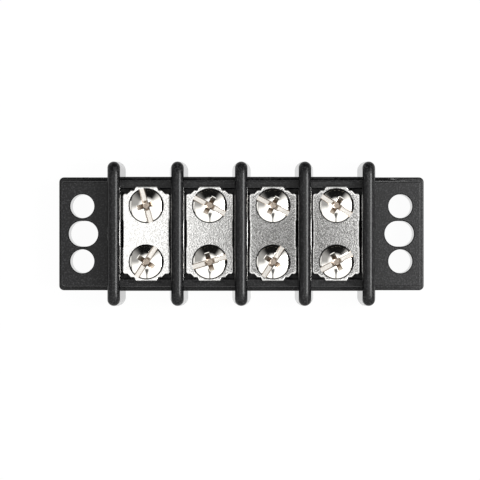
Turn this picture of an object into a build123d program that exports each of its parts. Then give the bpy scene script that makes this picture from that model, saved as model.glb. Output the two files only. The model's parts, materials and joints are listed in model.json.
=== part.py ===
from build123d import *
import os

# Double-row barrier terminal strip: a black moulded base, four plates, eight screws and their inserts.
# X runs along the strip, Y across it and Z up. The origin is the centre of the flat underside. Millimetres.

# Layout: the poles are spaced along the strip, and each has one screw in the front row and one in the back row
poles = 4
pitch = 14.29
screw_row_spacing = 12.7

# Terminal plate, measured out from the screws, and how it lies in its pocket
plate_thickness = 1.2
plate_edge = 0.2
plate_side_gap = 0.1
screw_to_tab_end = 4.25
tab_on_rim = 0.45
shoulder_to_rim = 1.1
corner_over_edge = 0.3
waist_depth = 0.13
waist_length = 5.5
waist_slope = 0.45
body_shoulder = 1.01
collar_slope = 0.75
tab_shoulder = 0.8
tab_taper = 0.3
inner_fillet = 0.3

# Pocket of the poles: a rim front and back, and in each pole a seat that carries the plate
rim_width = 1.8
pocket_depth = 2.8
notch_depth = 0.4
seat_margin = 0.6
seat_corner = 0.6

# Base: a low skirt, the block that stands on it, and an ear beyond the last fin at each end
block_top = 10.8
block_corner = 0.6
block_edge = 0.25
skirt_height = 2.4
skirt_step = 1.07
skirt_corner = 1.1
skirt_edge = 0.3
ear_length = 13.0
ear_inset = 0.13

# Holes in each ear, placed from the centre plane of the last fin: two round ones and a slot between them
ear_hole_diameter = 5.4
ear_hole_from_fin = 7.32
ear_hole_spacing = 12.44
ear_slot_width = 5.8
ear_slot_stretch = 0.82
ear_slot_from_fin = 7.07
ear_hole_edge = 0.2

# Gate marks in the back edge of the skirt
gate_mark_radius = 0.6
gate_mark_depth = 0.3

# Fins, which stand on both sides of every pole
fin_height = 17.9
fin_overhang = 3.48
fin_end_lean = 0.33
fin_foot_thickness = 4.2
fin_ridge_thickness = 2.75
fin_ridge_flat = 0.3
fin_droop_length = 3.0
fin_droop = 0.9

# Terminal screw, number 8 with 32 threads to the inch, drawn as a plain shank of the outside diameter
screw_diameter = 4.17
screw_length = 7.9
screw_tip_chamfer = 0.5
head_diameter = 7.95
head_rim_height = 1.5
head_height = 2.2
head_edge = 0.6
slot_width = 1.3
slot_depth = 1.35
cross_span = 4.4
cross_width = 1.1
cross_floor_span = 1.4
cross_floor_width = 0.7
cross_depth = 2.0

# How far the slot of each screw is turned from X, as (front, back) for one pole after another
slot_turns = [(56.5, 105.5), (17.0, 152.0), (57.0, 152.7), (28.0, 147.5)]

# Threaded insert, a brass bush moulded into the base, with a spigot that centres the plate
insert_diameter = 5.8
insert_tip_room = 0.7
insert_groove_depth = 0.3
insert_groove_height = 1.6
spigot_diameter = 5.0
spigot_below_plate_top = 0.4

# Clearances, each to one side
thread_clearance = 0.05
insert_clearance = 0.02
spigot_clearance = 0.1
notch_clearance = 0.15

# Levels that follow
pocket_floor = block_top - pocket_depth
seat_level = block_top - notch_depth
plate_top = seat_level + plate_thickness
insert_height = screw_length - plate_thickness + insert_tip_room
spigot_top = plate_top - spigot_below_plate_top

# Lengths and widths that follow
poles_length = poles * pitch
base_length = poles_length + 2 * ear_length
plate_length = screw_row_spacing + 2 * screw_to_tab_end
rim_inside = plate_length / 2 - tab_on_rim
plate_body_length = 2 * (rim_inside - shoulder_to_rim)
block_width = 2 * (rim_inside + rim_width)
base_width = block_width + 2 * skirt_step
ear_slot_length = ear_slot_width + ear_slot_stretch
fin_foot_length = base_width + 2 * fin_overhang
fin_ridge_length = fin_foot_length - 2 * fin_end_lean
fin_lean = (fin_foot_thickness - fin_ridge_thickness) / 2
fin_side_at_seat = fin_foot_thickness / 2 - fin_lean * seat_level / fin_height
plate_width = pitch - 2 * (fin_side_at_seat + plate_side_gap)
plate_corner = plate_edge + corner_over_edge
collar_root_width = plate_width - 2 * body_shoulder
collar_width = collar_root_width - 2 * collar_slope
tab_root_width = collar_width - 2 * tab_shoulder
tab_end_width = tab_root_width - 2 * tab_taper


def pole_x(pole):
    """X of the centre line of a pole, numbered from 1 at the left."""
    return (pole - (poles + 1) / 2) * pitch


def slab(length, width, low, high, corner):
    """Block with rounded upright corners between two levels."""
    return extrude(Pos(0, 0, low) * RectangleRounded(length, width, corner), high - low)


def bar(length, width, low, high):
    """Plain block between two levels, centred on the Z axis."""
    return Pos(0, 0, (low + high) / 2) * Box(length, width, high - low)


def turned(points):
    """Solid of revolution about Z from the corners of a half section, given as radius and height."""
    return revolve(Plane.XZ * make_face(Polyline(*points, close=True)), Axis.Z)


def top_face(solid):
    """The highest flat face of a solid."""
    return solid.faces().filter_by(Axis.Z).sort_by(Axis.Z)[-1]


def step_of_base(inset, top, corner, edge):
    """One step of the base, from the underside up: a shade wider along the poles, its top edge rounded."""
    ears = slab(base_length - 2 * inset, base_width - 2 * (ear_inset + inset), 0, top, corner)
    step = ears + bar(poles_length, base_width - 2 * inset, 0, top)
    return fillet(top_face(step).outer_wire().edges(), edge)


def ear_holes():
    """Outlines of the holes in both ears."""
    outlines = []
    for side in (-1, 1):
        last_fin = side * poles_length / 2
        for row in (-1, 1):
            place = Pos(last_fin + side * ear_hole_from_fin, row * ear_hole_spacing / 2)
            outlines.append(place * Circle(ear_hole_diameter / 2))
        place = Pos(last_fin + side * ear_slot_from_fin, 0)
        outlines.append(place * SlotOverall(ear_slot_length, ear_slot_width))
    return outlines


def gate_marks():
    """Small scoops in the back edge of the skirt, one behind each pole and each ear's slot."""
    back = base_width / 2
    places = [(pole_x(pole), back) for pole in range(1, poles + 1)]
    slot_x = poles_length / 2 + ear_slot_from_fin
    places += [(side * slot_x, back - ear_inset) for side in (-1, 1)]
    return [Pos(x, y, skirt_height) * Cylinder(gate_mark_radius, 2 * gate_mark_depth) for x, y in places]


def fin():
    """A fin, drafted all round, with round ends and a rounded ridge that droops a little at each end."""
    foot = Rot(0, 0, 90) * SlotOverall(fin_foot_length, fin_foot_thickness)
    ridge = Rot(0, 0, 90) * SlotOverall(fin_ridge_length, fin_ridge_thickness)
    body = loft([foot, Pos(0, 0, fin_height) * ridge])
    start = (fin_ridge_length / 2 - fin_droop_length, fin_height)
    end = (fin_foot_length / 2, fin_height - fin_droop)
    above = fin_height + fin_droop
    arc = TangentArc(start, end, tangent=(1, 0))
    outside = Polyline(end, (end[0], above), (start[0], above), start)
    droop = extrude(Plane.YZ * make_face([arc, outside]), fin_foot_thickness, both=True)
    body -= droop + mirror(droop, Plane.XZ)
    high = [e for e in body.edges() if e.bounding_box().min.Z > fin_height - 2 * fin_droop]
    ridge_outline = [e for e in high if e.geom_type != GeomType.LINE or abs(e.center().X) > fin_ridge_flat]
    return fillet(ridge_outline, (fin_ridge_thickness - fin_ridge_flat) / 2)


def seat():
    """The raised seat of a pole, which reaches the rims under the tabs of the plate."""
    body_length = plate_body_length - 2 * seat_margin
    body = slab(plate_width - 2 * seat_margin, body_length, pocket_floor, seat_level, seat_corner)
    return body + bar(collar_width - 2 * seat_margin, 2 * rim_inside, pocket_floor, seat_level)


def notches():
    """Room for both tabs of a plate in the rims, down to the seat's level."""
    width = tab_root_width + 2 * notch_clearance
    return bar(width, plate_length + 2 * notch_clearance, seat_level, block_top)


def insert_body(clearance):
    """The outside of an insert with its groove, grown by a clearance on the radius. Its top is at zero."""
    outer = insert_diameter / 2 + clearance
    inner = outer - insert_groove_depth
    groove_low = -(insert_height + insert_groove_height) / 2
    groove_high = groove_low + insert_groove_height
    return turned(
        [
            (0, -insert_height),
            (outer, -insert_height),
            (outer, groove_low),
            (inner, groove_low),
            (inner, groove_high),
            (outer, groove_high),
            (outer, 0),
            (0, 0),
        ]
    )


def base_moulding():
    """The moulded base: skirt, block with its ears and pocket, seats, fins and all the holes."""
    block = step_of_base(skirt_step, block_top, block_corner, block_edge)
    block -= bar(poles_length, 2 * rim_inside, pocket_floor, block_top)
    for outline in ear_holes():
        block -= extrude(outline, block_top)
    block = chamfer(ear_hole_rims(block), ear_hole_edge)
    skirt = step_of_base(0, skirt_height, skirt_corner, skirt_edge)
    for cut in gate_marks() + [extrude(outline, block_top) for outline in ear_holes()]:
        skirt -= cut
    base = skirt + block
    for pole in range(1, poles + 1):
        base += Pos(pole_x(pole), 0, 0) * seat()
        base -= Pos(pole_x(pole), 0, 0) * notches()
    barrier = fin()
    for index in range(poles + 1):
        base += Pos((index - poles / 2) * pitch, 0, 0) * barrier
    well = insert_body(insert_clearance)
    for _, x, y in screw_places():
        base -= Pos(x, y, seat_level) * well
    return base


def ear_hole_rims(block):
    """Edges of the ear holes in the top faces of the block."""
    tops = [face for face in block.faces().filter_by(Axis.Z) if abs(face.center().Z - block_top) < 1e-3]
    return [edge for face in tops for wire in face.inner_wires() for edge in wire.edges()]


def screw_places():
    """Name ending, X and Y of every screw."""
    for pole in range(1, poles + 1):
        yield f"{pole}_front", pole_x(pole), -screw_row_spacing / 2
        yield f"{pole}_back", pole_x(pole), screw_row_spacing / 2


def plate_quarter():
    """Corners of a quarter of a plate, from its waist to the end of its tab: X, Y and the radius there."""
    half_width = plate_width / 2
    half_body = plate_body_length / 2
    return [
        (half_width - waist_depth, waist_length / 2, inner_fillet),
        (half_width, waist_length / 2 + waist_slope, inner_fillet),
        (half_width, half_body, plate_corner),
        (collar_root_width / 2, half_body, inner_fillet),
        (collar_width / 2, half_body + collar_slope, plate_corner),
        (tab_root_width / 2, half_body + collar_slope, inner_fillet),
        (tab_end_width / 2, plate_length / 2, plate_corner),
    ]


def terminal_plate():
    """A plate with its upper edge rolled over and a hole for each insert's spigot. Its underside is at zero."""
    quarter = plate_quarter()
    right = [(x, -y, r) for x, y, r in reversed(quarter)] + quarter
    corners = right + [(-x, y, r) for x, y, r in reversed(right)]
    points = [(x, y) for x, y, _ in corners]
    radii = [r for _, _, r in corners]
    plate = extrude(make_face(FilletPolyline(*points, radius=radii, close=True)), plate_thickness)
    plate = fillet(top_face(plate).outer_wire().edges(), plate_edge)
    hole = Cylinder(spigot_diameter / 2 + spigot_clearance, 3 * plate_thickness)
    for row in (-1, 1):
        plate -= Pos(0, row * screw_row_spacing / 2, 0) * hole
    return plate


def threaded_insert():
    """An insert, drawn without its thread and open from end to end. Its shoulder is at zero."""
    insert = insert_body(0) + Cylinder(
        spigot_diameter / 2, spigot_top - seat_level, align=(Align.CENTER, Align.CENTER, Align.MIN)
    )
    return insert - Cylinder(screw_diameter / 2 + thread_clearance, 3 * insert_height)


def screw_blank():
    """Shank and domed head of a screw before its drive is cut. The underside of the head is at zero."""
    shank = screw_diameter / 2
    rim = head_diameter / 2
    side = Polyline(
        (0, head_height),
        (0, -screw_length),
        (shank - screw_tip_chamfer, -screw_length),
        (shank, screw_tip_chamfer - screw_length),
        (shank, 0),
        (rim, 0),
        (rim, head_rim_height),
    )
    dome = TangentArc((0, head_height), (rim, head_rim_height), tangent=(1, 0))
    blank = revolve(Plane.XZ * make_face([side, dome]), Axis.Z)
    rim_edge = [e for e in blank.edges() if abs(e.center().Z - head_rim_height) < 1e-3]
    return fillet(rim_edge, head_edge)


def terminal_screw():
    """A screw with a slot across its whole head and a tapered cross recess. The slot lies along X."""
    slot = bar(2 * head_diameter, slot_width, head_height - slot_depth, head_height)
    mouth = Pos(0, 0, head_height) * Rectangle(cross_span, cross_width)
    floor = Pos(0, 0, head_height - cross_depth) * Rectangle(cross_floor_span, cross_floor_width)
    wing = loft([floor, mouth])
    return screw_blank() - slot - wing - Rot(0, 0, 90) * wing


def all_parts():
    """Name and solid of every piece, in its place."""
    yield "base_moulding", base_moulding()
    plate = terminal_plate()
    insert = threaded_insert()
    screw = terminal_screw()
    for pole in range(1, poles + 1):
        yield f"terminal_plate_{pole}", Pos(pole_x(pole), 0, seat_level) * plate
    turns = [turn for pair in slot_turns for turn in pair]
    for index, (ending, x, y) in enumerate(screw_places()):
        turn = turns[index % len(turns)]
        yield f"threaded_insert_{ending}", Pos(x, y, seat_level) * insert
        yield f"terminal_screw_{ending}", Pos(x, y, plate_top) * Rot(0, 0, turn) * screw


os.makedirs("parts", exist_ok=True)
for name, solid in all_parts():
    export_step(solid, f"parts/{name}.step")
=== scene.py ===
# %% [markdown]
# A barrier terminal strip, dressed for a studio photograph. The strip's construction comes in as a fixed
# frame, already at its real size and in metres. This file gives each piece its finish, remakes the pieces
# whose gloss shows every facet, and sets up the studio.

# %% Load the frame
import json
import math

import bmesh
import bpy
from mathutils import Matrix, Vector

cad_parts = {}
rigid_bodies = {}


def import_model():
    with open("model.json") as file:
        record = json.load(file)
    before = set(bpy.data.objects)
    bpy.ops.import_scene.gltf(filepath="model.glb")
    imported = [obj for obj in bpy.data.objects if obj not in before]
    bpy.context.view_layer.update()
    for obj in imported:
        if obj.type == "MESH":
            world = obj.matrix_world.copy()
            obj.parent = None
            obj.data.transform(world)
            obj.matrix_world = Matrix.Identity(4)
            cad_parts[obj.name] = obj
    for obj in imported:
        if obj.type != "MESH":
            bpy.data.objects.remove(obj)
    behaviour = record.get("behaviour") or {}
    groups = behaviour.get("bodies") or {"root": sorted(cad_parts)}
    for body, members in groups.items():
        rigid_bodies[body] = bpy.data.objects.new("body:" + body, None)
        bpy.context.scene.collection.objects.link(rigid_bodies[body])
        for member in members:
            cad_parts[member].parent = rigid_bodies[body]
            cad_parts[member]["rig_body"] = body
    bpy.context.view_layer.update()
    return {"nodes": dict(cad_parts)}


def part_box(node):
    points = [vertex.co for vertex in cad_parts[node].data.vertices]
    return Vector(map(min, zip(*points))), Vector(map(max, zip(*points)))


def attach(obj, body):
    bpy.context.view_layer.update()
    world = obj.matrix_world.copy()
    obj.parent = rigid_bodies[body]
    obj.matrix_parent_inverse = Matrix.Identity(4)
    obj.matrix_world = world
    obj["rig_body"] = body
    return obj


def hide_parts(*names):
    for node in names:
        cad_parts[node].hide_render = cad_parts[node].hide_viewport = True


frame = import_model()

MM = 0.001
nodes = frame["nodes"]
print("pieces in the frame:", len(nodes))

# %% [markdown]
# The picture is square, so one number describes its size. The strip was photographed from straight above
# with a long lens, which shows in how little of the fins' sides can be seen. The picture's own scale and
# the spacing of the fins give the distance: the ridges stand 63.85 pixels apart, and the feet look 2.2 %
# closer together.

# %% The camera
IMAGE_PIXELS = 480
RIDGE_PITCH_PIXELS = 63.85
FOOT_SHRINK = 0.0222
SENSOR_MM = 36.0
CLIP_NEAR = 0.01
CLIP_FAR = 20.0
# Where the lens's axis and the middle of the strip fall in the picture, in pixels from its top left
AXIS_PIXEL = (255.0, 240.0)
STRIP_PIXEL = (241.2, 233.7)

_, base_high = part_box("base_moulding")
plate_low, plate_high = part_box("terminal_plate_1")
next_low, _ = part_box("terminal_plate_2")
PITCH = next_low[0] - plate_low[0]
RIDGE_Z = base_high[2]

camera_height = RIDGE_Z / FOOT_SHRINK
pixels_per_metre = RIDGE_PITCH_PIXELS / PITCH
lens_mm = pixels_per_metre * camera_height * SENSOR_MM / IMAGE_PIXELS
camera_x = (AXIS_PIXEL[0] - STRIP_PIXEL[0]) / pixels_per_metre
camera_y = (STRIP_PIXEL[1] - AXIS_PIXEL[1]) / pixels_per_metre

lens = bpy.data.cameras.new("camera")
lens.lens = lens_mm
lens.sensor_width = SENSOR_MM
lens.shift_x = (IMAGE_PIXELS / 2 - AXIS_PIXEL[0]) / IMAGE_PIXELS
lens.shift_y = (AXIS_PIXEL[1] - IMAGE_PIXELS / 2) / IMAGE_PIXELS
lens.clip_start = CLIP_NEAR
lens.clip_end = CLIP_FAR
camera = bpy.data.objects.new("camera", lens)
camera.location = (camera_x, camera_y, RIDGE_Z + camera_height)
bpy.context.scene.collection.objects.link(camera)
bpy.context.scene.camera = camera
bpy.context.scene.view_settings.view_transform = "Standard"
print(f"lens {lens_mm:.0f} mm, {camera_height:.3f} m above the ridges")


# %% [markdown]
# Colours are picked from a screen, so they are written as the hex values that a screen shows. The
# shader works in linear light, and one function turns the one into the other. Another one adds every node
# of the room and of the materials. A Mix node has its sockets several times under the same names, for
# numbers, vectors, colours and rotations, and only one set is in use, so the function looks among the
# sockets that are in use.

# %% Helpers for colours, nodes and objects
def linear(hex_colour):
    """A screen colour such as "#c8c4bc" in linear light, with an alpha of 1."""
    channels = [int(hex_colour[i : i + 2], 16) / 255 for i in (1, 3, 5)]
    return [c / 12.92 if c <= 0.04045 else ((c + 0.055) / 1.055) ** 2.4 for c in channels] + [1.0]


def add_node(tree, kind, settings=None, inputs=None):
    """Adds a node. Settings are its properties. An input, given by name or number, is a value, a socket that
    feeds it, or a node whose first output in use feeds it."""
    node = tree.nodes.new("ShaderNode" + kind)
    for name, value in (settings or {}).items():
        setattr(node, name, value)
    in_use = [socket for socket in node.inputs if socket.enabled]
    for key, value in (inputs or {}).items():
        target = in_use[key] if isinstance(key, int) else next(s for s in in_use if s.name == key)
        if isinstance(value, bpy.types.Node):
            value = next(output for output in value.outputs if output.enabled)
        if isinstance(value, bpy.types.NodeSocket):
            tree.links.new(value, target)
        else:
            target.default_value = value
    return node


def new_material(name):
    """An empty node material, and its tree."""
    material = bpy.data.materials.new(name)
    material.use_nodes = True
    material.node_tree.nodes.clear()
    return material, material.node_tree


def made_object(form, name):
    """Uses up a bmesh and returns an object of it, linked to the scene."""
    mesh = bpy.data.meshes.new(name)
    form.to_mesh(mesh)
    form.free()
    made = bpy.data.objects.new(name, mesh)
    bpy.context.scene.collection.objects.link(made)
    return made


# Settings that several nodes share: a Map Range that eases in and out, a product, and a mix of colours
SMOOTH = {"interpolation_type": "SMOOTHSTEP"}
TIMES = {"operation": "MULTIPLY"}
COLOURS = {"data_type": "RGBA"}


# %% [markdown]
# The studio is a table under a roof of white light, in a dimmer room. Dull surfaces only need even light,
# and the world gives them that. What shines needs something to mirror: the bright roof makes the nickel
# white, the dimmer walls draw a line round every rounded edge, and one dark window high up behind the
# strip puts the black crescent on each screw head. A grey screen stands to the left of the window. In
# front, the foot of the roof is brighter, and a stand hangs into it: wide where it starts, thin further
# down, as the dark tongue on each head shows. Such a room could be built of panels. Here it is painted
# into the world, part over part, because then no panel throws a shadow or stands in the way of another
# view.

# %% The directions in the room
world = bpy.data.worlds.new("studio_room")
bpy.context.scene.world = world
world.use_nodes = True
room = world.node_tree
room.nodes.clear()

direction = add_node(room, "TexCoord").outputs["Generated"]
compass = add_node(room, "SeparateXYZ", {}, {"Vector": direction}).outputs
elevation = add_node(room, "Math", {"operation": "ARCSINE"}, {0: compass["Z"]})
elevation = add_node(room, "Math", {"operation": "DEGREES"}, {0: elevation})
# The bearing is 0 straight behind the strip and grows to the left
leftward = add_node(room, "Math", TIMES, {0: compass["X"], 1: -1.0})
bearing = add_node(room, "Math", {"operation": "ARCTAN2"}, {0: leftward, 1: compass["Y"]})
bearing = add_node(room, "Math", {"operation": "DEGREES"}, {0: bearing})
off_back = add_node(room, "Math", {"operation": "ABSOLUTE"}, {0: bearing})
forward = add_node(room, "Math", TIMES, {0: compass["Y"], 1: -1.0})
aside = add_node(room, "Math", {"operation": "ABSOLUTE"}, {0: compass["X"]})
# How far to the side of the stand a direction lies, counted in the stand's own half width, which tapers
STAND_TAPER = {"From Min": 0.3, "From Max": 0.5, "To Min": 0.07, "To Max": 0.022}
half_width = add_node(room, "MapRange", SMOOTH, {"Value": forward, **STAND_TAPER})
half_widths_off = add_node(room, "Math", {"operation": "DIVIDE"}, {0: aside, 1: half_width})
print("the room is measured with", len(room.nodes), "nodes")

# %% The room, as the world
BACK_WALLS = 0.3
FILL_STRENGTH = 0.95
HIGH_BAND = [(elevation, 77, 69), (elevation, 40, 47)]
# Each part covers the ones before it. It has a brightness and edges, and an edge goes softly from nothing
# at its first number to full at its second, in degrees for the angles.
PARTS = {
    "front walls": (0.8, [(off_back, 60, 120)]),
    "roof": (1.35, [(elevation, 50, 56)]),
    "screen": (0.4, [(bearing, 112, 84), (bearing, 10, 30)] + HIGH_BAND),
    "window": (0.006, [(bearing, 64, 28), (bearing, -68, -30)] + HIGH_BAND),
    "bright foot of the roof": (1.5, [(off_back, 110, 140), (elevation, 50, 54), (elevation, 64, 56)]),
    "stand": (0.1, [(half_widths_off, 1.3, 0.7), (forward, 0.24, 0.3)]),
}
light = BACK_WALLS
for brightness, edges in PARTS.values():
    share = 1.0
    for measure, nothing, full in edges:
        edge = add_node(room, "MapRange", SMOOTH, {"Value": measure, "From Min": nothing, "From Max": full})
        share = add_node(room, "Math", TIMES, {0: share, 1: edge})
    light = add_node(room, "Mix", {}, {"Factor": share, "A": light, "B": brightness})

# Mirrors see the room, the camera sees white, and all else gets even light
rays = add_node(room, "LightPath").outputs
strength = add_node(room, "Mix", {}, {"Factor": rays["Is Glossy Ray"], "A": FILL_STRENGTH, "B": light})
strength = add_node(room, "Mix", {}, {"Factor": rays["Is Camera Ray"], "A": strength, "B": 1.0})
white = add_node(room, "Background", {}, {"Color": linear("#ffffff"), "Strength": strength})
add_node(room, "OutputWorld", {}, {"Surface": white})
print("over the back walls:", ", ".join(PARTS))

# %% [markdown]
# The table is white. The camera and the mirrors see it as pure white, as in a product photograph, with a
# trace of real light on top, so that the strip still leaves a faint shadow.

# %% The table top
FLOOR_SIDE = 6.0
SHADOW_SHARE = 0.03
form = bmesh.new()
bmesh.ops.create_grid(form, x_segments=1, y_segments=1, size=FLOOR_SIDE / 2)
floor = made_object(form, "table_top")
paper, tree = new_material("white_paper")
rays = add_node(tree, "LightPath").outputs
lit = add_node(tree, "BsdfDiffuse", {}, {"Color": linear("#fbfbfb")})
glow = add_node(tree, "Emission", {}, {"Color": linear("#ffffff"), "Strength": 1.0})
seen = add_node(tree, "Math", {"operation": "MAXIMUM"}, {0: rays["Is Camera Ray"], 1: rays["Is Glossy Ray"]})
share = add_node(tree, "Math", TIMES, {0: seen, 1: 1.0 - SHADOW_SHARE})
both = add_node(tree, "MixShader", {}, {0: share, 1: lit, 2: glow})
add_node(tree, "OutputMaterial", {}, {"Surface": both})
floor.data.materials.append(paper)
print(f"table top {FLOOR_SIDE:.0f} m wide")

# %% [markdown]
# Straight above the table hangs the camera itself, a dark disc in the white roof. The flat plates lie
# square to it and mirror it, each from its own place: the plate that mirrors its middle comes out grey,
# and the plate at the left end, which looks past it, stays white. Only mirrors see this disc.

# %% The camera's dark front
HOOD_RADIUS = 0.042
HOOD_SEGMENTS = 48
HOOD_CENTRE_X = 0.020
# A little below the camera, as a share of its height over the ridges
HOOD_HEIGHT = 0.98
HOOD_GLOW = 0.02
form = bmesh.new()
bmesh.ops.create_circle(form, cap_ends=True, segments=HOOD_SEGMENTS, radius=HOOD_RADIUS)
hood_centre = (HOOD_CENTRE_X, camera_y, RIDGE_Z + camera_height * HOOD_HEIGHT)
bmesh.ops.translate(form, verts=form.verts, vec=hood_centre)
hood = made_object(form, "camera_hood")
for kind_of_ray in ("camera", "diffuse", "transmission", "volume_scatter", "shadow"):
    setattr(hood, "visible_" + kind_of_ray, False)
dark, tree = new_material("dark_camera_front")
glow = add_node(tree, "Emission", {}, {"Color": linear("#ffffff"), "Strength": HOOD_GLOW})
add_node(tree, "OutputMaterial", {}, {"Surface": glow})
hood.data.materials.append(dark)
print(f"hood {2 * HOOD_RADIUS:.3f} m wide, {hood_centre[2]:.3f} m above the table")


# %% [markdown]
# One soft lamp adds what the even light lacks: it stands above the strip on the right, faces it, and
# makes that end of the moulding lighter than the left end.

# %% The lamp
SOFTBOX_PLACE = Vector((0.20, 0.0, 0.34))
SOFTBOX_SIDE = 0.16
SOFTBOX_WATTS = 1.3
softbox_light = bpy.data.lights.new("right_softbox", "AREA")
softbox_light.shape = "SQUARE"
softbox_light.size = SOFTBOX_SIDE
softbox_light.energy = SOFTBOX_WATTS
softbox = bpy.data.objects.new("right_softbox", softbox_light)
softbox.location = SOFTBOX_PLACE
softbox.rotation_euler = (-SOFTBOX_PLACE).to_track_quat("-Z", "Y").to_euler()
bpy.context.scene.collection.objects.link(softbox)
print(f"lamp {SOFTBOX_PLACE.length:.2f} m from the strip")

# %% [markdown]
# The base is a black thermoset, pressed in a mould whose top faces were grained and whose sides were
# polished so that it lets go. Every face that looks up is broken into pale specks, partly flecks of paler
# filler that come to the surface there and partly painted glints of the grain, while the sides of the fins
# mirror whatever stands beside them. One material can do both if it asks each point which way its surface
# faces.

# %% The black moulding
PER_METRE = 1 / MM
# A pixel of the picture is 0.22 mm wide, so grain or dents much finer than that wouldn't show in it
GRAIN_MM = 0.32
GRAIN_DEPTH_MM = 0.03
GRAIN_STRENGTH = 0.8
SIDE_ROUGHNESS = 0.10
TOP_ROUGHNESS = 0.31
# How steeply up or down a face looks: up to the first number it is a side, from the second a top
SIDE_TO_TOP = {"From Min": 0.15, "From Max": 0.6}
# How high the grain has to rise to show a pale speck, of filler and painted glint
FLECK_LEVELS = {"From Min": 0.5, "From Max": 0.66}
RESIN = linear("#050506")
# The pale colour is partly filler and partly a painted glint of the grained top faces
FILLER_AND_GLINT = linear("#2c2c2d")
thermoset, tree = new_material("black_thermoset_moulding")
coordinates = add_node(tree, "TexCoord").outputs
upward = add_node(tree, "SeparateXYZ", {}, {"Vector": coordinates["Normal"]}).outputs["Z"]
steepness = add_node(tree, "Math", {"operation": "ABSOLUTE"}, {0: upward})
top_share = add_node(tree, "MapRange", SMOOTH, {"Value": steepness, **SIDE_TO_TOP})
grain_size = {"Scale": PER_METRE / GRAIN_MM, "Detail": 2.0, "Roughness": 0.55}
grain = add_node(tree, "TexNoise", {}, {"Vector": coordinates["Object"], **grain_size})
# Pale specks only on faces that look up: paler filler, and painted glints of the grain
fleck_and_glint = add_node(tree, "MapRange", SMOOTH, {"Value": grain, **FLECK_LEVELS})
fleck_and_glint = add_node(tree, "Math", TIMES, {0: fleck_and_glint, 1: top_share})
colour = add_node(tree, "Mix", COLOURS, {"Factor": fleck_and_glint, "A": RESIN, "B": FILLER_AND_GLINT})
strength = add_node(tree, "Math", TIMES, {0: top_share, 1: GRAIN_STRENGTH})
bump = add_node(tree, "Bump", {}, {"Strength": strength, "Distance": GRAIN_DEPTH_MM * MM, "Height": grain})
gloss = add_node(tree, "Mix", {}, {"Factor": top_share, "A": SIDE_ROUGHNESS, "B": TOP_ROUGHNESS})
skin = add_node(
    tree,
    "BsdfPrincipled",
    {},
    {"Base Color": colour, "Roughness": gloss, "IOR": 1.42, "Specular IOR Level": 0.39, "Normal": bump},
)
add_node(tree, "OutputMaterial", {}, {"Surface": skin})
print(thermoset.name, "has", len(tree.nodes), "nodes")

# %% [markdown]
# The plates are stamped from brass strip, tumbled to roll over their edges, and dull nickel plated.
# Tumbling leaves a skin of fine dents, and each dent tilts its mirror a little, which reads as sparkle.
# The rolled-over edge is a wide, very shallow rounding, so it is drawn by turning the shading a little
# towards the edge: that tilt looks past the camera's dark front and comes out as a white band round each
# plate.

# %% The dull nickel plate
DENT_MM = 0.28
DENT_DEPTH_MM = 0.0075
DENT_LEVELS = {"From Min": 0.35, "From Max": 0.65}
ROLL_MM = 0.7
ROLL_SHARE = 0.13
ROLL_SAMPLES = 8
WORN_NICKEL = linear("#d6d5d2")
CLEAN_NICKEL = linear("#fefdfb")
dull_nickel, tree = new_material("dull_nickel_plate")
place = add_node(tree, "TexCoord").outputs["Object"]
dent_size = {"Scale": PER_METRE / DENT_MM, "Detail": 1.0, "Roughness": 0.5}
dents = add_node(tree, "TexNoise", {}, {"Vector": place, **dent_size})
level = add_node(tree, "MapRange", SMOOTH, {"Value": dents, **DENT_LEVELS})
colour = add_node(tree, "Mix", COLOURS, {"Factor": level, "A": WORN_NICKEL, "B": CLEAN_NICKEL})
straight = add_node(tree, "NewGeometry").outputs["Normal"]
rolled = add_node(tree, "Bevel", {"samples": ROLL_SAMPLES}, {"Radius": ROLL_MM * MM})
facing = add_node(tree, "Mix", {"data_type": "VECTOR"}, {"Factor": ROLL_SHARE, "A": straight, "B": rolled})
facing = add_node(tree, "VectorMath", {"operation": "NORMALIZE"}, {0: facing})
dented = {"Strength": 1.0, "Distance": DENT_DEPTH_MM * MM, "Height": dents, "Normal": facing}
bump = add_node(tree, "Bump", {}, dented)
finish = {"Base Color": colour, "Metallic": 1.0, "Roughness": 0.11, "Normal": bump}
metal = add_node(tree, "BsdfPrincipled", {}, finish)
add_node(tree, "OutputMaterial", {}, {"Surface": metal})
print(dull_nickel.name, "has", len(tree.nodes), "nodes")

# %% [markdown]
# The screws are barrel-plated bright nickel: nearly a mirror, with the slight waviness of a headed blank.
# The plating is thinner and duller down in the recess, and the recess is painted darker and warmer, partly
# for that thinner plating and partly as painted shade, since each bounce in there takes a little blue away.
# The rim's upright side only sees its own seat, so it gets a painted shade, darker still. An attribute that
# every corner of the screw carries says how deep in the recess it lies, and values above all depths mark
# painted shade and dark reflections on the side and in the crevices at the foot of the slot's walls.

# %% The bright nickel plate
WAVE_MM = 1.5
WAVE_DEPTH_MM = 0.012
WAVE_STRENGTH = 0.5
BRIGHT_NICKEL = linear("#f3f0ea")
# Darker, warmer nickel of the recess: thinner plating, and painted shade
THIN_NICKEL_AND_SHADE = linear("#a3978b")
# Painted shade and dark reflection of the rim's side and the slot's crevices
SHADED_NICKEL = linear("#1e1c1a")
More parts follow.
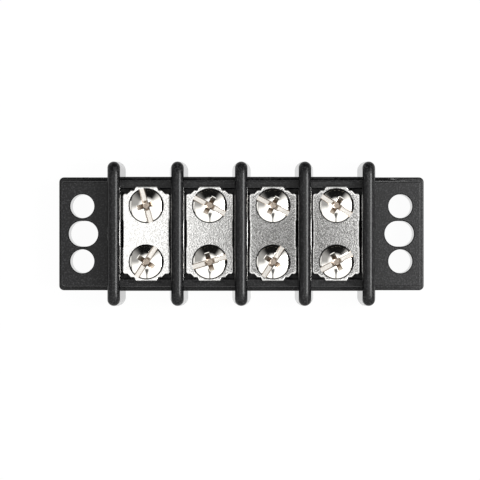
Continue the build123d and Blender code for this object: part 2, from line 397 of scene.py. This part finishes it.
# What the attribute's values do: where the plating thins and the painted shade of the recess deepens,
# where the painted shade of the side sets in, and how the plating goes from polished to dull
THINNING_AND_SHADE = {"From Min": 0.15, "From Max": 0.8}
SHADING = {"From Min": 1.1, "From Max": 1.9}
DULLING = {"From Min": 0.0, "From Max": 0.15, "To Min": 0.07, "To Max": 0.2}
bright_nickel, tree = new_material("bright_nickel_plate")
place = add_node(tree, "TexCoord").outputs["Object"]
wave_size = {"Scale": PER_METRE / WAVE_MM, "Detail": 1.0, "Roughness": 0.55}
waves = add_node(tree, "TexNoise", {}, {"Vector": place, **wave_size})
wavy = {"Strength": WAVE_STRENGTH, "Distance": WAVE_DEPTH_MM * MM, "Height": waves}
bump = add_node(tree, "Bump", {}, wavy)
depth = add_node(tree, "Attribute", {"attribute_name": "recess_shade"}).outputs["Fac"]
thinness_and_shade = add_node(tree, "MapRange", SMOOTH, {"Value": depth, **THINNING_AND_SHADE})
# The recess is painted darker and warmer, partly for thinner plating and partly as painted shade
bright = add_node(tree, "Mix", COLOURS, {"Factor": thinness_and_shade, "A": BRIGHT_NICKEL, "B": THIN_NICKEL_AND_SHADE})
# Painted shade on the rim's side and in the crevices at the foot of the slot's walls
on_side = add_node(tree, "MapRange", SMOOTH, {"Value": depth, **SHADING})
shade = add_node(tree, "Mix", COLOURS, {"Factor": on_side, "A": bright, "B": SHADED_NICKEL})
gloss = add_node(tree, "MapRange", SMOOTH, {"Value": depth, **DULLING})
finish = {"Base Color": shade, "Metallic": 1.0, "Roughness": gloss, "Normal": bump}
metal = add_node(tree, "BsdfPrincipled", {}, finish)
add_node(tree, "OutputMaterial", {}, {"Surface": metal})
print(bright_nickel.name, "has", len(tree.nodes), "nodes")

# %% [markdown]
# The inserts are turned brass bushes, moulded into the base. Only someone who takes the strip apart sees
# them, so a brass colour with a faint unevenness is enough.

# %% The turned brass
UNEVENNESS_MM = 0.2
DARK_BRASS = linear("#b9934a")
LIGHT_BRASS = linear("#d0ab63")
turned_brass, tree = new_material("turned_brass")
place = add_node(tree, "TexCoord").outputs["Object"]
patch_size = {"Scale": PER_METRE / UNEVENNESS_MM, "Detail": 3.0, "Roughness": 0.55}
patches = add_node(tree, "TexNoise", {}, {"Vector": place, **patch_size})
colour = add_node(tree, "Mix", COLOURS, {"Factor": patches, "A": DARK_BRASS, "B": LIGHT_BRASS})
metal = add_node(tree, "BsdfPrincipled", {}, {"Base Color": colour, "Metallic": 1.0, "Roughness": 0.3})
add_node(tree, "OutputMaterial", {}, {"Surface": metal})
print(turned_brass.name, "has", len(tree.nodes), "nodes")


# %% [markdown]
# A frame piece arrives as loose triangles with a flat shade each. The moulding and the plates have the
# right shape already, so each only needs its triangles joined and shaded smoothly across the rounded
# edges. Where triangles lie flat together they are dissolved into one face, and a weighted normal lets
# that large face keep its own direction, so that the rounding alone bends the light.

# %% Smooth copies of the moulding and the plates
SHARP_ANGLE = math.radians(32)
FLAT_ANGLE = math.radians(0.2)
MERGE_DISTANCE = 1e-7
LARGEST_FACE_FIRST = 100


def finished(form, name, material):
    """An object of a bmesh, with one material, and sharp edges only where the surface really turns."""
    piece = made_object(form, name)
    piece.data.shade_smooth()
    piece.data.set_sharp_from_angle(angle=SHARP_ANGLE)
    piece.data.materials.append(material)
    weights = piece.modifiers.new("weighted_normal", "WEIGHTED_NORMAL")
    weights.keep_sharp = True
    weights.weight = LARGEST_FACE_FIRST
    return piece


def stand_in(piece, node_name):
    """Shows a piece in place of a frame piece, moving with the same body."""
    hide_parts(node_name)
    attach(piece, nodes[node_name]["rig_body"])


def smooth_copy(node_name, material):
    """Replaces a frame piece by its own shape, joined up and shaded smoothly."""
    form = bmesh.new()
    form.from_mesh(nodes[node_name].data)
    bmesh.ops.remove_doubles(form, verts=form.verts, dist=MERGE_DISTANCE)
    bmesh.ops.dissolve_limit(form, angle_limit=FLAT_ANGLE, verts=form.verts, edges=form.edges)
    piece = finished(form, "smooth_" + node_name, material)
    stand_in(piece, node_name)
    print(piece.name, "has", len(piece.data.polygons), "faces")


smooth_copy("base_moulding", thermoset)
plate_names = sorted(name for name in nodes if name.startswith("terminal_plate"))
for name in plate_names:
    smooth_copy(name, dull_nickel)


# %% [markdown]
# A screw starts from one point at the top of its head. Spinning that point about a centre far below draws
# the arc of the crown, and spinning the finished outline about the screw's axis makes the head. The crown
# is low, so most of it mirrors the roof, and the rounded rim mirrors the walls. The screw is drawn in
# millimetres and only scaled to metres at the end, when it is set in its place.

# %% The outline of a screw head
HEAD_SEGMENTS = 128
CROWN_STEPS = 14
CROWN_RISE = 0.7
RIM_ROUNDING = 0.56
RIM_STEPS = 6
screw_names = sorted(name for name in nodes if name.startswith("terminal_screw"))
screw_low, screw_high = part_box(screw_names[0])
HEAD_RADIUS = (screw_high[0] - screw_low[0]) / 2 / MM
HEAD_TOP = 2.2
SHANK_LENGTH = (plate_high[2] - screw_low[2]) / MM
print(f"head {2 * HEAD_RADIUS:.2f} mm wide, shank {SHANK_LENGTH:.2f} mm long")

AXIS = Vector((0, 0, 1))
JOIN_DISTANCE = 1e-4
crown_radius = (HEAD_RADIUS**2 + CROWN_RISE**2) / (2 * CROWN_RISE)
crown_angle = math.asin(HEAD_RADIUS / crown_radius)


def extended(form, corner, place):
    """Draws an edge from a corner to a new place, and returns the new corner."""
    drawn = bmesh.ops.extrude_vert_indiv(form, verts=[corner])["verts"][0]
    drawn.co = place
    return drawn


def head_form():
    """The closed solid of a head before its drive is cut. Its underside is at zero."""
    form = bmesh.new()
    peak = form.verts.new((0, 0, HEAD_TOP))
    centre = (0, 0, HEAD_TOP - crown_radius)
    arc = bmesh.ops.spin(
        form,
        geom=[peak],
        cent=centre,
        axis=(0, 1, 0),
        dvec=(0, 0, 0),
        angle=crown_angle,
        steps=CROWN_STEPS,
    )
    rim = next(item for item in arc["geom_last"] if isinstance(item, bmesh.types.BMVert))
    foot = extended(form, rim, (HEAD_RADIUS, 0, 0))
    extended(form, foot, (0, 0, 0))
    bmesh.ops.spin(
        form,
        geom=list(form.verts) + list(form.edges),
        cent=(0, 0, 0),
        axis=AXIS,
        dvec=(0, 0, 0),
        angle=2 * math.pi,
        steps=HEAD_SEGMENTS,
        use_merge=True,
    )
    bmesh.ops.remove_doubles(form, verts=form.verts, dist=JOIN_DISTANCE)
    bmesh.ops.recalc_face_normals(form, faces=form.faces)
    rim_height = HEAD_TOP - CROWN_RISE
    rim_edges = [
        edge
        for edge in form.edges
        if all(abs(vert.co.z - rim_height) < JOIN_DISTANCE for vert in edge.verts)
    ]
    bmesh.ops.bevel(
        form,
        geom=rim_edges,
        offset=RIM_ROUNDING,
        offset_type="OFFSET",
        segments=RIM_STEPS,
        profile=0.5,
        affect="EDGES",
        material=-1,
    )
    return form


def open_edges(form):
    """How many edges don't lie between exactly two faces. A closed solid has none."""
    return sum(1 for edge in form.edges if not edge.is_manifold)


test = head_form()
print("head:", len(test.verts), "vertices,", open_edges(test), "open edges")
test.free()

# %% [markdown]
# The thread is drawn by the same tool. One tooth's outline is exactly one pitch tall, so when it is spun
# round the axis and lifted one pitch for each turn, every turn meets the one before it. It is drawn too
# long at both ends, and two flat cuts then give it its length.

# %% The thread
MM_PER_INCH = 25.4
THREADS_PER_INCH = 32
THREAD_PITCH = MM_PER_INCH / THREADS_PER_INCH
# A number 8 thread is 4.17 mm wide, and a unified thread is 0.6134 pitches deep
THREAD_RADIUS = 2.085
DEPTH_IN_PITCHES = 0.6134
THREAD_DEPTH = DEPTH_IN_PITCHES * THREAD_PITCH
STEPS_PER_TURN = 32
SUNK_IN_HEAD = 0.3
PITCHES_BELOW_TIP = 1.5
EXTRA_TURNS = 2
# Corners of a tooth: how far in from the outside, in depths, and how far up, in pitches
TOOTH = [(1, 0), (1, 1 / 8), (0, 7 / 16), (0, 9 / 16), (1, 7 / 8), (1, 1)]


def thread_form():
    """The closed solid of a threaded shank, from its tip to a little inside the head."""
    form = bmesh.new()
    tooth = [(THREAD_RADIUS - inward * THREAD_DEPTH, rise * THREAD_PITCH) for inward, rise in TOOTH]
    bottom = -SHANK_LENGTH - PITCHES_BELOW_TIP * THREAD_PITCH
    corner = form.verts.new((tooth[0][0], 0, bottom))
    for radius, rise in tooth[1:]:
        corner = extended(form, corner, (radius, 0, bottom + rise))
    turns = math.ceil((SHANK_LENGTH + SUNK_IN_HEAD) / THREAD_PITCH) + EXTRA_TURNS
    bmesh.ops.spin(
        form,
        geom=list(form.verts) + list(form.edges),
        cent=(0, 0, 0),
        axis=AXIS,
        dvec=(0, 0, THREAD_PITCH / STEPS_PER_TURN),
        angle=turns * 2 * math.pi,
        steps=turns * STEPS_PER_TURN,
    )
    bmesh.ops.remove_doubles(form, verts=form.verts, dist=JOIN_DISTANCE)
    for level, outward in ((-SHANK_LENGTH, -1), (SUNK_IN_HEAD, 1)):
        cut = bmesh.ops.bisect_plane(
            form,
            geom=list(form.verts) + list(form.edges) + list(form.faces),
            dist=JOIN_DISTANCE,
            plane_co=(0, 0, level),
            plane_no=(0, 0, outward),
            clear_outer=True,
        )
        rim = [item for item in cut["geom_cut"] if isinstance(item, bmesh.types.BMEdge)]
        bmesh.ops.holes_fill(form, edges=rim, sides=0)
    bmesh.ops.recalc_face_normals(form, faces=form.faces)
    return form


test = thread_form()
print("thread:", len(test.verts), "vertices,", open_edges(test), "open edges")
test.free()

# %% [markdown]
# The drive is a slot right across the head with a cross recess in its middle, so that either kind of
# screwdriver fits. Both are cut by solids: a bar for the slot, and two bars that narrow towards the
# bottom for the cross.

# %% The solids that cut the drive
SLOT_WIDTH = 1.3
SLOT_DEPTH = 1.35
WING_SPAN = 4.4
WING_WIDTH = 1.1
WING_FLOOR_SPAN = 1.4
WING_FLOOR_WIDTH = 0.7
WING_DEPTH = 2.0
SLOT_SPAN = 3 * HEAD_RADIUS
# How far the cutting solids stand above the head
ABOVE = 1.0


def cutting_bar(span, width, floor_span, floor_width, depth, turn=0.0):
    """A bar that cuts down from the top of the head, narrower at its floor."""
    form = bmesh.new()
    bmesh.ops.create_cube(form, size=1.0)
    growth = ABOVE / depth
    for vert in form.verts:
        top = vert.co.z > 0
        long = span + (span - floor_span) * growth if top else floor_span
        wide = width + (width - floor_width) * growth if top else floor_width
        vert.co = (vert.co.x * long, vert.co.y * wide, HEAD_TOP + (ABOVE if top else -depth))
    bmesh.ops.rotate(form, verts=form.verts, cent=(0, 0, 0), matrix=Matrix.Rotation(turn, 3, "Z"))
    return form


def combined(first, steps):
    """Joins or cuts an object with others, one after the other, and returns the result as a bmesh."""
    for operation, other in steps:
        change = first.modifiers.new(operation.lower(), "BOOLEAN")
        change.operation = operation
        change.solver = "MANIFOLD"
        change.object = other
    evaluated = first.evaluated_get(bpy.context.evaluated_depsgraph_get())
    form = bmesh.new()
    form.from_mesh(evaluated.to_mesh())
    evaluated.to_mesh_clear()
    for used in [first] + [other for _, other in steps]:
        mesh = used.data
        bpy.data.objects.remove(used)
        bpy.data.meshes.remove(mesh)
    return form


# %% [markdown]
# One screw is cut and then copied to all eight places. The head and the threaded shank are joined first,
# and then the drive is cut, with the boolean modifier. A thin bevel breaks the sharp edges of the drive,
# because on real plated metal every edge is a fine bright or dark line.

# %% One screw with its drive
EDGE_BREAK = 0.09
BREAK_STEPS = 2
RIGHT_ANGLE = math.pi / 2


def screw_form():
    """A whole screw on the axis, its slot along X and the underside of its head at zero."""
    slot = cutting_bar(SLOT_SPAN, SLOT_WIDTH, SLOT_SPAN, SLOT_WIDTH, SLOT_DEPTH)
    wings = [
        cutting_bar(WING_SPAN, WING_WIDTH, WING_FLOOR_SPAN, WING_FLOOR_WIDTH, WING_DEPTH, turn)
        for turn in (0.0, RIGHT_ANGLE)
    ]
    steps = [("UNION", made_object(thread_form(), "shank"))]
    steps += [("DIFFERENCE", made_object(cutter, "cutter")) for cutter in [slot] + wings]
    form = combined(made_object(head_form(), "head"), steps)
    bmesh.ops.remove_doubles(form, verts=form.verts, dist=JOIN_DISTANCE)
    return form


screw = screw_form()
print("screw:", len(screw.faces), "faces,", open_edges(screw), "open edges")
drive_edges = [
    edge
    for edge in screw.edges
    if len(edge.link_faces) == 2
    and edge.calc_face_angle(0.0) > SHARP_ANGLE
    and min(vert.co.z for vert in edge.verts) > JOIN_DISTANCE
]
bmesh.ops.bevel(
    screw,
    geom=drive_edges,
    offset=EDGE_BREAK,
    offset_type="OFFSET",
    segments=BREAK_STEPS,
    profile=0.5,
    affect="EDGES",
    material=-1,
    clamp_overlap=True,
)
print("screw:", len(screw.faces), "faces after its edges are broken")

# %% [markdown]
# The attribute of plating and painted shade is written on the corners of that one screw. It could follow
# the depth alone, but the slot's flat floor gets less painted shade than the cross beside it, and the foot
# of its walls gets a painted dark line, so each of them has a value of its own. The floor is divided close
# to the walls first, which keeps that painted dark line thin.

# %% How deep each corner of the screw lies, and how much painted shade it gets
# Values of painted shade: the slot's floor, the crevices at the foot of its walls, and the rim's side
SLOT_FLOOR_SHADE = 0.36
CREVICE_SHADE = 1.7
CREVICE_WIDTH = 0.24
SIDE_SHADE = 2.0
# How far the painted shade of the side reaches up the rounded rim, as a share of the rounding
SIDE_RISE = 0.1
FLOOR_TOLERANCE = 0.01
slot_floor_z = HEAD_TOP - SLOT_DEPTH
crevice_start = SLOT_WIDTH / 2 - CREVICE_WIDTH
for side in (-1, 1):
    floor_faces = [
        face
        for face in screw.faces
        if all(abs(vert.co.z - slot_floor_z) < FLOOR_TOLERANCE for vert in face.verts)
    ]
    # A dictionary drops the repeats and keeps the order
    floor_edges = dict.fromkeys(edge for face in floor_faces for edge in face.edges)
    floor_verts = dict.fromkeys(vert for face in floor_faces for vert in face.verts)
    bmesh.ops.bisect_plane(
        screw,
        geom=floor_faces + list(floor_edges) + list(floor_verts),
        dist=JOIN_DISTANCE,
        plane_co=(0, side * crevice_start, 0),
        plane_no=(0, 1, 0),
    )
recess_shade = screw.verts.layers.float.new("recess_shade")
side_top = HEAD_TOP - CROWN_RISE + SIDE_RISE * RIM_ROUNDING
for vert in screw.verts:
    x, y, z = vert.co
    from_axis = math.hypot(x, y)
    in_slot = abs(y) < SLOT_WIDTH / 2 + EDGE_BREAK
    above_floor = z - slot_floor_z
    # The slot's floor, its crevices and the rim's side get their values of painted shade
    if abs(y) < crevice_start + FLOOR_TOLERANCE and abs(above_floor) < FLOOR_TOLERANCE:
        vert[recess_shade] = SLOT_FLOOR_SHADE
    elif in_slot and -FLOOR_TOLERANCE < above_floor < EDGE_BREAK + FLOOR_TOLERANCE:
        vert[recess_shade] = CREVICE_SHADE
    elif -EDGE_BREAK < z < side_top and from_axis > HEAD_RADIUS - RIM_ROUNDING / 2:
        vert[recess_shade] = SIDE_SHADE
    # Deeper in the recess means thinner plating and more painted shade
    elif z > EDGE_BREAK and (in_slot or from_axis < WING_SPAN / 2 + EDGE_BREAK):
        crown = HEAD_TOP - crown_radius + math.sqrt(crown_radius**2 - from_axis**2)
        vert[recess_shade] = min(1.0, max(0.0, crown - z - EDGE_BREAK) / WING_DEPTH)
print("corners that aren't on the crown:", sum(1 for vert in screw.verts if vert[recess_shade] > 0))

# %% [markdown]
# Each copy is turned as its own screw was left, which the walls of the slot in the frame's own screw
# tell: the direction that most of the upright surface outside the cross faces is the one across the slot.

# %% The eight screws
INSIDE_RIM = 0.97
UPRIGHT_LIMIT = 0.01


def slot_turn(node_name):
    """How far the slot of a frame screw is turned from X, read from the walls of its slot."""
    mesh = nodes[node_name].data
    low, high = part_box(node_name)
    centre = (low + high) / 2
    areas = {}
    for face in mesh.polygons:
        normal = face.normal
        place = face.center - centre
        away = math.hypot(place.x, place.y)
        outside_cross = WING_SPAN / 2 * MM < away < HEAD_RADIUS * INSIDE_RIM * MM
        if abs(normal.z) < UPRIGHT_LIMIT and face.center.z > plate_high[2] and outside_cross:
            angle = round(math.degrees(math.atan2(normal.y, normal.x)) % 180, 1)
            areas[angle] = areas.get(angle, 0.0) + face.area
    return math.radians(max(areas, key=areas.get) - 90)


for name in screw_names:
    low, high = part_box(name)
    form = screw.copy()
    turn = slot_turn(name)
    bmesh.ops.rotate(form, verts=form.verts, cent=(0, 0, 0), matrix=Matrix.Rotation(turn, 3, "Z"))
    bmesh.ops.scale(form, verts=form.verts, vec=(MM, MM, MM))
    place = ((low[0] + high[0]) / 2, (low[1] + high[1]) / 2, plate_high[2])
    bmesh.ops.translate(form, verts=form.verts, vec=place)
    piece = finished(form, "cut_" + name, bright_nickel)
    stand_in(piece, name)
    print(name, f"turned {math.degrees(turn):.1f} degrees")
screw.free()

# %% [markdown]
# The inserts are hidden in the moulding and are plain turned bushes, so the frame's own shape is good
# enough and they only get their brass.

# %% The inserts
for name, piece in nodes.items():
    if name.startswith("threaded_insert"):
        for slot in piece.material_slots:
            slot.material = turned_brass
        print(name, "is brass")
